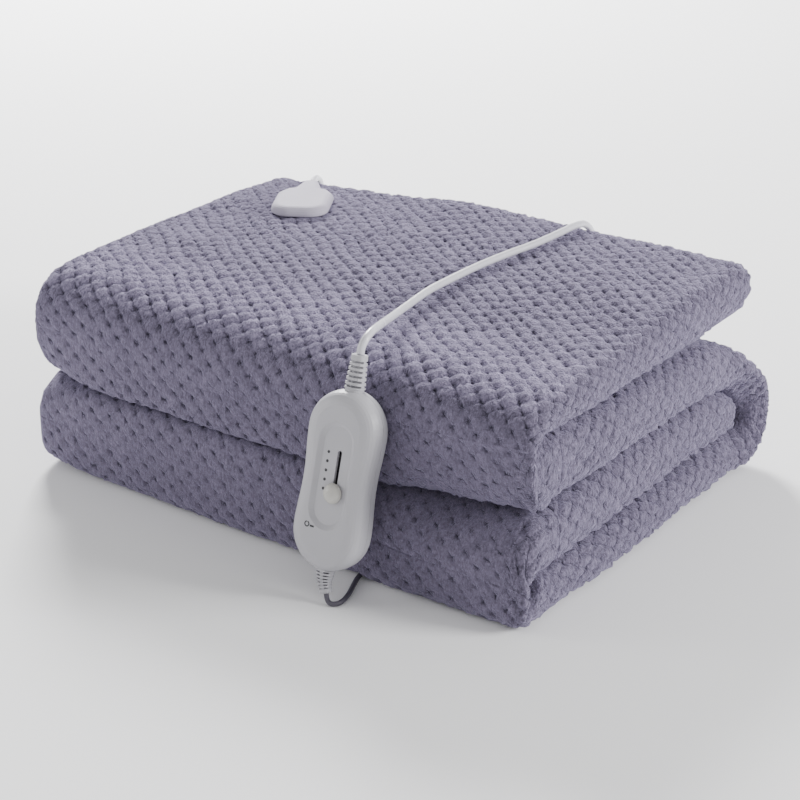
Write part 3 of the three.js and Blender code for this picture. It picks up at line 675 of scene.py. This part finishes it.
def even_rows(grid, row, stations, starts):
    """Spaces the rows of puffs evenly down the outside of the front folds."""
    for part, face in (("U", "third_up"), ("L", "fourth_under")):
        low = starts[part]
        high = low + sum(name == part for name, _ in stations)
        down = np.cumsum(np.linalg.norm(np.diff(grid[low:high + 1], axis=0), axis=-1), axis=0)
        placed = low + np.vstack([np.zeros(TOTAL), down[:-1]]) / (PUFF_LENGTH[part] / PUFF)
        outside = np.zeros(TOTAL)
        outside[SPAN[face]] = 1
        # and less and less so round the corner to the right end
        if part == "U":
            outside[SPAN[face].stop:SPAN[face].stop + CORNER] = np.linspace(1, 0, CORNER)
        else:
            outside[SPAN[face].start - CORNER:SPAN[face].start] = np.linspace(0, 1, CORNER)
        row[low:high] = blend(row[low:high], placed, outside)


def bare_pack(stations):
    """The pack's cloth without its pile: points in mm, the places of the puffs in rows and columns of
    the mesh, what is tucked in behind a lip, and how deep it is in a hollow."""
    grid = np.empty((len(stations), TOTAL, 3))
    row, column = np.indices((len(stations), TOTAL)).astype(float)
    tucked, hollow = np.zeros(row.shape, bool), np.zeros(row.shape)
    end = slice(FIRST["right_fold"], FIRST["fourth_under"] + 1)
    # heights round a plain right end, and their columns
    plain = pack_section(0, STACK_WIDTH / 2, 0, 0, END_SQUARE)[1][end][::-1], column[0, end][::-1]
    starts = first_rows(stations)
    for i, (part, value) in enumerate(stations):
        lip = lip_share(part, value)
        square = round(blend(END_SQUARE, LIP_SQUARE, lip), 1)
        x, n = pack_section(*reach_of(part, value), slip_at(part, value), square)
        if part in MIDDLE:
            share = hem_share(abs(value - HEM_Y[part])) if part in HEM_Y else 1
            y, even = np.full(TOTAL, value), MIDDLE[part] + FACE_UPWARD[part] * n * share
        else:
            y, even = fold_place(part, value, n, x).T
        if part == "K":
            # the back fold is hollow beside the bottom band's end
            hollow[i, end] = smooth(0, HALF, n[end]) * swelling(value, *BACK_HOLLOW["round"])
            x[end] = x[end] - BACK_HOLLOW["deep"] * hollow[i, end]
        if part in "UL":
            x[end], taken, hollow[i, end] = tucked_end(part, lip, x[end], n[end], even[end])
            # the lower band's rows of puffs go on as far as the lip
            beyond = (FOLD_Y - y[end]) / (PUFF_SIZE / PUFF)
            like = MIDDLE["B"] - even[end] if part == "U" else even[end] - MIDDLE["D"]
            first = starts["B"] if part == "U" else starts["L"]
            behind = taken > 0.5
            tucked[i, end] = behind
            row[i, end] = np.where(behind, first - beyond if part == "U" else first + beyond, row[i, end])
            column[i, end] = np.where(behind, np.interp(like, *plain), column[i, end])
        z = settle(x, y, even)
        lift = CORNER_LIFT * smooth(-145, -200, x) * smooth(-95, FRONT, y)
        z = np.where(z < CORNER_HEIGHT, lift + z * (1 - lift / CORNER_HEIGHT), z)
        grid[i] = np.stack([x, y + front_shift(x, y, even), z], axis=-1)
    even_rows(grid, row, stations, starts)
    beside = np.abs(grid[..., 0] - GROOVE["x"])
    rim = np.clip((GROOVE["rim"] - beside) / (GROOVE["rim"] - GROOVE["half"]), 0, 1)
    grid[..., 2] = np.maximum(grid[..., 2], GROOVE["height"] * rim)
    return grid, row, column, tucked, hollow


def steps_of(grid):
    """The way to the next row, and twice the way to the next column, at each point of the grid."""
    return np.gradient(grid, axis=0), np.roll(grid, -1, axis=1) - np.roll(grid, 1, axis=1)


def normals_of(grid):
    """The surface's direction at each point of the grid, outwards."""
    normal = np.cross(*steps_of(grid))
    length = np.linalg.norm(normal, axis=-1, keepdims=True)
    return normal / np.maximum(length, 1e-6)


def drawn_together(grid, a, b, share):
    """Moves the mesh's points along the cloth towards the valleys, where the pile turns sharply."""
    shift_a, shift_b = (-share * np.sin(2 * math.pi * value) / (2 * math.pi) for value in (a, b))
    along, across = steps_of(grid)
    j, i = (shift_a + shift_b) * PUFF / 2, (shift_a - shift_b) * PUFF / 2
    moved = grid + across / 2 * j[..., None] + along * i[..., None]
    return moved, a + shift_a, b + shift_b


def puff_height(a, b, crisp, lean, random):
    """Height of the pile, from 0 in a dimple to 1 on a crown, at a and b on the lattice. crisp is how
    deep the valleys are, and lean how far each puff stands up at one side, as scales do."""
    da, db = np.abs(a - np.round(a)), np.abs(b - np.round(b))
    line_a, line_b = swelling(da, 0, VALLEY[0]), swelling(db, 0, VALLEY[1])
    near_a, near_b = swelling(da, 0, CROSSING[0]), swelling(db, 0, CROSSING[1])
    ridged = np.abs(lean)
    least_a, least_b = blend(0.65 * crisp, 0.6, ridged), blend(0.2 * crisp, 0.6, ridged)
    valley = np.maximum(line_a * blend(near_b, 1, least_a), line_b * blend(near_a, 1, least_b))
    valley *= 1 - 0.2 * ridged
    scale = 0.42 * lean * (a - np.floor(a) - b + np.floor(b))
    dome = 0.5 * crisp * ((0.5 - da) ** 2 + (0.5 - db) ** 2)
    table = random.normal(0, 1, (128, 128))
    each = table[np.floor(a).astype(int) % 128, np.floor(b).astype(int) % 128]
    return 1 - valley - dome + scale + 0.08 * np.clip(each, -2, 2) * (1 - valley)


def waves(x, y, z, random, sizes, count=9):
    """A gentle unevenness, about -1 to 1, with swells of the sizes given in mm."""
    total = 0
    for _ in range(count):
        turn = random.normal(0, 1, 3)
        turn *= 2 * math.pi / random.uniform(*sizes) / np.linalg.norm(turn)
        total = total + np.sin(turn[0] * x + turn[1] * y + turn[2] * z + random.uniform(0, 6.28))
    return total / math.sqrt(count)


def pile_maps(stations):
    """How far the pile stands at each point, how deep the valleys between its puffs are, and how
    scaly it is."""
    amount, scaly = np.zeros((2, len(stations), TOTAL))
    crisp = np.full(amount.shape, 0.3)
    third, fourth = SPAN["third_up"], SPAN["fourth_under"]
    left, right = SPAN["left_fold"], SPAN["right_fold"]
    amount[:, left] = 0.6
    amount[:, right] = 0.9
    crisp[:, right] = 0.5
    scaly[:, right] = 0.85
    for i, (part, value) in enumerate(stations):
        if part in "AU":
            amount[i, third] = 1
        if part in "KL":
            amount[i, fourth] = 0.9
        if part == "A":
            crisp[i, third] = 0.6 + 0.2 * smooth(-40, -95, value)
        if part == "U":
            crisp[i, third] = blend(0.12, 0.8, smooth(20, 55, value))
        if part == "L":
            crisp[i, fourth] = 0.12
    for _ in range(4):
        scaly = (np.roll(scaly, 1, axis=1) + scaly + np.roll(scaly, -1, axis=1)) / 3
    return amount, crisp, scaly


def pushed_out(points, route, clear):
    """Moves points out of a cord's way."""
    line = np.array(route)
    fine = np.concatenate([np.linspace(p, q, 8)[:-1] for p, q in zip(line[:-1], line[1:])])
    flat = points.reshape(-1, 3)
    best = np.full(len(flat), 1e9)
    nearest = np.zeros_like(flat)
    for p in fine:
        away = ((flat - p) ** 2).sum(1)
        closer = away < best
        best[closer] = away[closer]
        nearest[closer] = p
    distance = np.sqrt(best)[:, None]
    moved = nearest + (flat - nearest) / np.maximum(distance, 1e-6) * clear
    return np.where(distance < clear, moved, flat).reshape(points.shape)


def cell_faces(used, blocks):
    """Two triangles for a fine cell, split along a valley that crosses it, or one coarse face."""
    faces = []
    for rows, columns, down, across in blocks:
        for i in range(rows[0], rows[1], down):
            for j in range(columns[0], columns[1], across):
                i2, j2 = min(i + down, rows[1]), min(j + across, columns[1])
                if down == across == 1:
                    k = j - FIRST["third_up"]
                    if (k + i + 1) % PUFF == 0:
                        faces += [[(i, j), (i2, j), (i, j2)], [(i2, j), (i2, j2), (i, j2)]]
                    else:
                        faces += [[(i, j), (i2, j), (i2, j2)], [(i, j), (i2, j2), (i, j2)]]
                    continue
                ring = [(i, c) for c in range(j2, j, -1)] + [(r, j) for r in range(i, i2)]
                ring += [(i2, c) for c in range(j, j2)] + [(r, j2) for r in range(i2, i, -1)]
                faces.append([spot for spot in ring if used[spot[0], spot[1] % TOTAL]])
    return faces


SEEN_IN = 3  # columns that show in the slits at the right end
GROOVE_COLUMNS = (38, 48)
# Rows and columns of the mesh for each face where the cloth is hidden, and rows at the hems.
HIDDEN_FOLD = 7
HIDDEN_BAND = 24
HIDDEN_ACROSS = 17
HEM_ROWS = 3


def mesh_blocks(stations):
    """Which cells of the grid are fine, and how coarse the hidden ones are."""
    starts = first_rows(stations)
    first = [*starts.values(), len(stations) - 1]
    third, right = FIRST["third_up"], FIRST["right_fold"]
    fourth, hem = FIRST["fourth_under"], FIRST["fourth_hem"]
    groove = [fourth + column for column in GROOVE_COLUMNS]
    blocks = []
    for part, *rows in zip(starts, first, first[1:]):
        hidden = HIDDEN_FOLD if part in FOLDS else HIDDEN_BAND
        # where each block ends, and how many rows and columns one face of it takes up
        row = [(FIRST["left_fold"], hidden, 1), (third, 1, 1)]
        crease = fourth + SEEN_IN
        if part in "AU":
            crease += CORNER
        else:
            row.append((right - SEEN_IN, hidden, HIDDEN_ACROSS))
        row += [(right, 1, 1), (fourth, 1, 1)]
        if part in "KL":
            row.append((hem, 1, 1))
        else:
            row += [(crease, 1, 1), (groove[0], hidden, HIDDEN_ACROSS), (groove[1], hidden, 1),
                    (hem, hidden, HIDDEN_ACROSS)]
        row += [(FIRST["fourth_up"], HEM_ROWS, 1), (FIRST["first_hem"], hidden, 1),
                (TOTAL, HEM_ROWS, 1)]
        start = 0
        for end, down, across in row:
            blocks.append((rows, (start, end), down, across))
            start = end
    return blocks


def used_spots(shape, blocks):
    """Which points of the grid are a corner of a face."""
    used = np.zeros(shape, bool)
    for rows, columns, down, across in blocks:
        i = np.unique([*range(rows[0], rows[1], down), rows[1]])
        j = np.unique([*range(columns[0], columns[1], across), columns[1]]) % shape[1]
        used[np.ix_(i, j)] = True
    return used


# The housing as it lies, and how the cloth is pressed in under it and round it.
HOUSING = {"turn": 28, "half_width": 23, "half_length": 41, "margin": 6, "sunk": 0.4, "slope": 0.5}
TOP_ABOVE = 120  # heights over this are the stack's top
CLEAR = 0.35  # between the cloth and the cords
OVER_FLOOR = 0.15


def press_under_housing(points):
    """Heights of the points, kept under the connector housing."""
    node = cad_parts["connector_housing"]
    corners = np.array([v.co for v in node.data.vertices]) / MM
    centre = corners[:, :2].mean(0)
    plane, *_ = np.linalg.lstsq(
        np.column_stack([corners[:, :2], np.ones(len(corners))]), corners[:, 2], rcond=None)
    below = (corners[:, 2] - corners[:, :2] @ plane[:2] - plane[2]).min()
    turn = math.radians(HOUSING["turn"])
    away = points[..., :2] - centre
    u = away[..., 0] * math.cos(turn) + away[..., 1] * math.sin(turn)
    v = -away[..., 0] * math.sin(turn) + away[..., 1] * math.cos(turn)
    beside = np.maximum(np.abs(u) - HOUSING["half_width"], np.abs(v) - HOUSING["half_length"])
    underside = points[..., :2] @ plane[:2] + plane[2] + below
    limit = underside - HOUSING["sunk"] + np.clip(beside, 0, None) * HOUSING["slope"]
    held = (beside < HOUSING["margin"]) & (points[..., 2] > TOP_ABOVE)
    return np.where(held & (points[..., 2] > limit), limit, points[..., 2])


def standing_pile(stations, spacing, tucked):
    """The pile's maps, with less pile where the rows run together inside a fold, and none at the
    hems."""
    amount, crisp, scaly = pile_maps(stations)
    amount = np.where(tucked, 0.6, amount * smooth(0.25, 0.9, spacing / ROW_APART))
    for _ in range(3):
        amount[1:-1] = (amount[:-2] + amount[1:-1] + amount[2:]) / 3
    count = np.arange(len(stations))
    from_hem = np.minimum(count, count[::-1])[:, None]
    return amount * smooth(0, 4, from_hem), crisp, scaly


def plush_surface(stations):
    """The cloth's points in mm, and what its finish needs to know at each of them."""
    random = np.random.default_rng(7)
    grid, row, column, tucked, hollow = bare_pack(stations)
    normal = normals_of(grid)
    places = np.moveaxis(grid, -1, 0)
    column = column - FIRST["third_up"] + 0.5 * waves(*places, random, (35, 80))
    row = row + 0.5 * waves(*places, random, (35, 80))
    # whole numbers of a and of b are the two sets of valleys between the puffs
    a, b = (column + row) / PUFF, (column - row) / PUFF
    spacing = np.linalg.norm(np.gradient(grid, axis=0), axis=-1)
    amount, crisp, scaly = standing_pile(stations, spacing, tucked)
    grid, a, b = drawn_together(grid, a, b, 0.35 * (amount > 0.3))
    backward = np.clip(np.gradient(grid[..., 1], axis=0) / 2, -1, 1)
    height = puff_height(a, b, crisp, scaly * backward, random)
    swell = waves(*places, random, (60, 160))
    stir = np.clip(random.normal(0, 1, height.shape), -2, 2)
    deep = PILE["dimple"] + PILE["crisp"] * crisp
    lift = deep * (height - 1) + PILE["stands"] + PILE["swell"] * swell + PILE["stir"] * stir
    points = grid + normal * (amount * lift)[..., None]
    points = pushed_out(points, CORD_ROUTE, CORD_DIAMETER / 2 + CLEAR)
    points = pushed_out(points, LEAD_ROUTE, LEAD_DIAMETER / 2 + CLEAR)
    points[..., 2] = press_under_housing(points)
    points[..., 2] = np.maximum(points[..., 2], OVER_FLOOR)
    return points, np.stack([a, b, crisp], -1), {"standing": amount, "hollow": hollow, "scaly": scaly}


def blanket_mesh():
    stations = pack_stations()
    points, lattice, marks = plush_surface(stations)
    blocks = mesh_blocks(stations)
    used = used_spots(points.shape[:2], blocks)
    index = np.full(used.shape, -1)
    index[used] = np.arange(used.sum())
    faces = [[int(index[i, j % TOTAL]) for i, j in face] for face in cell_faces(used, blocks)]
    faces.append([int(v) for v in index[0][index[0] >= 0]])
    faces.append([int(v) for v in index[-1][index[-1] >= 0][::-1]])
    mesh = new_mesh("blanket", points[used] * MM, faces, True)
    layer = mesh.attributes.new("lattice", "FLOAT_VECTOR", "POINT")
    layer.data.foreach_set("vector", lattice[used].astype(np.float32).ravel())
    for name, values in marks.items():
        layer = mesh.attributes.new(name, "FLOAT", "POINT")
        layer.data.foreach_set("value", np.clip(values[used], 0, 1).astype(np.float32))
    return mesh


# ---- marks on the controller

CONTROLLER_AT = Vector((78, -170.4, 74.6))
CONTROLLER_LEAN = math.radians(16.4)
FACE_UP = Vector((0, math.sin(CONTROLLER_LEAN), math.cos(CONTROLLER_LEAN)))
FACE_OUT = Vector((0, -math.cos(CONTROLLER_LEAN), math.sin(CONTROLLER_LEAN)))
FACE_HEIGHT = 12
PANEL_HEIGHT = 9.9
DOTS = {"u": -5.2, "t": (17.4, 11.7, 6, 0.3, -5.4), "radius": 0.95}
RING = (-11.4, -29, 1.9, 0.8, 100, 440)  # u, t, radius, width, and from where to where in degrees
RING_SUNK = 0.02
BAR = (-7.6, -29.6, 3, 1.2)  # u, t, width, height
INK = 0.12  # how far a mark stands out
INK_BELOW = 0.05


def on_face(u, t, height):
    """A point on the controller: u to the right, t up its length and height out of its middle."""
    return (CONTROLLER_AT + Vector((u, 0, 0)) + FACE_UP * t + FACE_OUT * height) * MM


def printed(outline, height):
    """A closed flat mark with that outline, a little proud of the face."""
    low = [on_face(u, t, height - INK_BELOW) for u, t in outline]
    high = [on_face(u, t, height + INK) for u, t in outline]
    count = len(outline)
    faces = [list(range(count))[::-1], [count + i for i in range(count)]]
    faces += [[i, (i + 1) % count, count + (i + 1) % count, count + i] for i in range(count)]
    return low + high, faces


def joined_marks(name, marks, finish):
    """One piece of several marks."""
    points, faces = [], []
    for mark_points, mark_faces in marks:
        faces += [[len(points) + i for i in face] for face in mark_faces]
        points += mark_points
    return piece(name, new_mesh(name, points, faces, False), finish)


def round_line(u, t, radius, turns):
    return [(u + radius * math.cos(a), t + radius * math.sin(a)) for a in turns]


def disc_outline(u, t, radius, sides=16):
    return round_line(u, t, radius, [2 * math.pi * i / sides for i in range(sides)])


def ring_outline(u, t, radius, width, start, end, sides=20):
    """An open ring from one angle to another."""
    turns = [math.radians(start + (end - start) * i / sides) for i in range(sides + 1)]
    return round_line(u, t, radius, turns) + round_line(u, t, radius - width, turns)[::-1]


def bar_outline(u, t, width, height):
    corners = ((-1, -1), (1, -1), (1, 1), (-1, 1))
    return [(u + right * width / 2, t + up * height / 2) for right, up in corners]


# ---- finishes

def painted_valley_shade(f, a, b, crisp, scaly):
    """Painted shade between the puffs: short dashes and nicks along the valleys, or creases up and down
    between scaly puffs."""
    line_a, line_b = a.from_line().bell(0.07), b.from_line().bell(0.095)
    either = line_a.math("MAXIMUM", line_b)
    dash = line_b * a.from_line().bell(0.23)
    nick = line_a * b.from_line().bell(0.17) * (1 - crisp * 0.5)
    slanting = dash.math("MAXIMUM", nick).math("MAXIMUM", either * crisp * 0.3)
    off_a, off_b = a.off_line(), b.off_line()
    seam = (off_a - off_b).bell(0.12) * (off_a + off_b).bell(0.5)
    creased = (seam * 0.85).math("MAXIMUM", either * 0.36)
    # the painted shade is deeper in some dimples than in others
    shade_strength = (f.noise(0.009, 2, 0.6) * 2.4 - 0.35).clamped() * 0.95
    return (slanting + (creased - slanting) * scaly) * (shade_strength + scaly * 0.3).clamped()


def plush_finish():
    """Soft lilac-grey pile in puffs: painted shade in the dimples and hollows, painted light along the
    top's front edge, lighter fibre tips here and there, with a sheen.
    """
    f = Finish("lilac_plush", roughness=0.95, specular_ior_level=0.1, sheen_weight=0.7,
               sheen_roughness=0.35, sheen_tint=tint(204, 197, 232))
    lattice = f.mark("lattice", "Vector")
    a, b, crisp = (f.node("SeparateXYZ", {}, {0: lattice}, axis) for axis in range(3))
    wobble = f.noise(0.0045, 3, 0.75)
    wander = f.noise(0.004, 3, 0.75, f.stretched(1, -1, 1))
    a, b = a + (wobble - 0.5) * 0.5, b + (wander - 0.5) * 0.5
    # painted shade in the valleys between the puffs, less where the pile lies flat
    dark = painted_valley_shade(f, a, b, crisp, f.mark("scaly")) * f.mark("standing")
    clump = f.noise(0.0032, 4, 0.7)
    fibre = f.noise(0.0013, 2, 0.75, f.stretched(1, 1, 0.45))
    # painted highlight: the base colour is lightened along the top's front edge for back light caught in
    # the pile there, and the fibre texture shows stronger there
    lit_front_edge = ((crisp - 0.62) * 6).clamped()
    rough = crisp * 0.7 + lit_front_edge * 0.6 + 0.55
    shade = ((clump - 0.5) * 2 + (fibre - 0.5) * 2.1) * rough + lit_front_edge * 0.85 + 1
    tone = f.mix(f.noise(0.035, 3, 0.55), tint(103, 97, 117), tint(116, 109, 130))
    tone = f.node("VectorMath", {"operation": "SCALE"}, {0: tone, 3: shade.math("MAXIMUM", 0.3)})
    # painted shade: the valleys and the hollows at the right ends are darkened towards a near-black lilac
    painted_shade_share = dark.math("MAXIMUM", f.mark("hollow") * 1.5).clamped()
    f.give("Base Color", f.mix(painted_shade_share, tone, tint(26, 23, 36)))
    height = (clump * 1.2 + fibre * 0.7) * rough - dark * 0.9
    f.give("Normal", f.bump(height, 0.0021, 1))
    return f.material


def plastic_finish(name, colour, shade, roughness, specular=0.5):
    """Moulded plastic with a fine grain and a faint unevenness of tone."""
    f = Finish(name, specular_ior_level=specular)
    patch = f.noise(0.03, 3)
    grain = f.noise(0.00035)
    f.give("Base Color", f.mix(patch * 0.5 + grain * 0.12, colour, shade))
    f.give("Roughness", (f.noise(0.012, 3, 0.6) - 0.5) * 0.12 + roughness)
    f.give("Normal", f.bump(grain, 0.00003, 0.6))
    return f.material


def metal_finish():
    """Drawn nickel."""
    f = Finish("nickel_pin", metallic=1.0)
    drawn = f.noise(0.0006, 2, 0.5, f.stretched(0.05, 1, 1))
    f.give("Base Color", f.mix(drawn, tint(190, 190, 192), tint(214, 214, 214)))
    f.give("Roughness", drawn * 0.2 + 0.2)
    f.give("Normal", f.bump(drawn, 0.00001, 0.5))
    return f.material


def finish_nodes(material, *names):
    for name in names:
        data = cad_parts[name].data
        data.materials.clear()
        data.materials.append(material)


# ---- floor and light

FLOOR = {"half_width": 6.0, "back": 3.0, "top": 4.0, "steps": 12}
LIT_POINT = (0, 0, 0.07)


def stand_floor(finish):
    """A sheet of paper that curves up behind, with a radius of one metre."""
    turns = np.linspace(0, math.pi / 2, FLOOR["steps"] + 1)
    curve = [(FLOOR["back"] + math.sin(angle), 1 - math.cos(angle)) for angle in turns]
    profile = [(-FLOOR["half_width"], 0), *curve, (FLOOR["back"] + 1, FLOOR["top"])]
    points = [(x * FLOOR["half_width"], y, z) for y, z in profile for x in (-1, 1)]
    faces = [(2 * i, 2 * i + 1, 2 * i + 3, 2 * i + 2) for i in range(len(profile) - 1)]
    floor = put("floor", new_mesh("floor", points, faces, True))
    floor.data.materials.append(finish)


def paper_finish():
    f = Finish("white_paper", roughness=0.9, specular_ior_level=0.1)
    f.give("Base Color", f.mix(f.noise(0.4, 2, 0.5), tint(244, 244, 245), tint(247, 247, 248)))
    return f.material


def soft_light(name, at, size, power):
    """A square light that points at the blanket."""
    data = bpy.data.lights.new(name, "AREA")
    data.size = size
    data.energy = power
    aim(name, data, at, Vector(LIT_POINT) - Vector(at))


def room_light(strength):
    world = bpy.data.worlds.new("room")
    world.use_nodes = True
    background = world.node_tree.nodes["Background"]
    background.inputs["Color"].default_value = (1, 1, 1, 1)
    background.inputs["Strength"].default_value = strength
    bpy.context.scene.world = world


# ---- putting it together

stand_camera()

cord_white = plastic_finish("cord_white", tint(204, 203, 210), tint(194, 193, 201), 0.26)
# painted shade: the mains lead is given the dark purple-grey of a white lead lying in the stack's shade;
# the coil tie and plug share it
lead_painted_dark = plastic_finish("lead_painted_dark", tint(84, 80, 92), tint(74, 71, 82), 0.5)
case_grey = plastic_finish("case_grey", tint(176, 175, 180), tint(168, 167, 173), 0.42)
knob_white = plastic_finish("knob_white", tint(184, 182, 177), tint(177, 175, 170), 0.2)
housing_white = plastic_finish("housing_white", tint(176, 171, 185), tint(168, 163, 177), 0.7, 0.12)
print_grey = plastic_finish("print_grey", tint(52, 51, 55), tint(44, 43, 47), 0.6)

cord = cord_curve("blanket_cord", CORD_ROUTE, CORD_DIAMETER, cord_white)
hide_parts("cord")
whole_lead = LEAD_ROUTE + coil_route() + END_ROUTE[::-1]
lead = cord_curve("mains_lead", whole_lead, LEAD_DIAMETER, lead_painted_dark)
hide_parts("lead", "lead_coil", "lead_end")

blanket = piece("plush_blanket", blanket_mesh(), plush_finish())
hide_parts("blanket")

dots = [printed(disc_outline(DOTS["u"], t, DOTS["radius"]), PANEL_HEIGHT) for t in DOTS["t"]]
joined_marks("setting_dots", dots, print_grey)
ring = printed(ring_outline(*RING), FACE_HEIGHT - RING_SUNK)
bar = printed(bar_outline(*BAR), FACE_HEIGHT)
joined_marks("power_mark", [ring, bar], print_grey)

finish_nodes(case_grey, "controller_back", "controller_front", "relief_top", "relief_bottom")
finish_nodes(knob_white, "controller_knob")
finish_nodes(housing_white, "connector_housing")
finish_nodes(lead_painted_dark, "coil_tie", "plug", "plug_relief")
finish_nodes(metal_finish(), "plug_pin_1", "plug_pin_2")

stand_floor(paper_finish())
room_light(0.68)
soft_light("key", (-1.5, 1.5, 1.25), 0.7, 156)
soft_light("side", (2.1, 0.7, 0.9), 0.7, 76)
soft_light("front_fill", (-0.95, -0.75, 0.4), 0.4, 4)
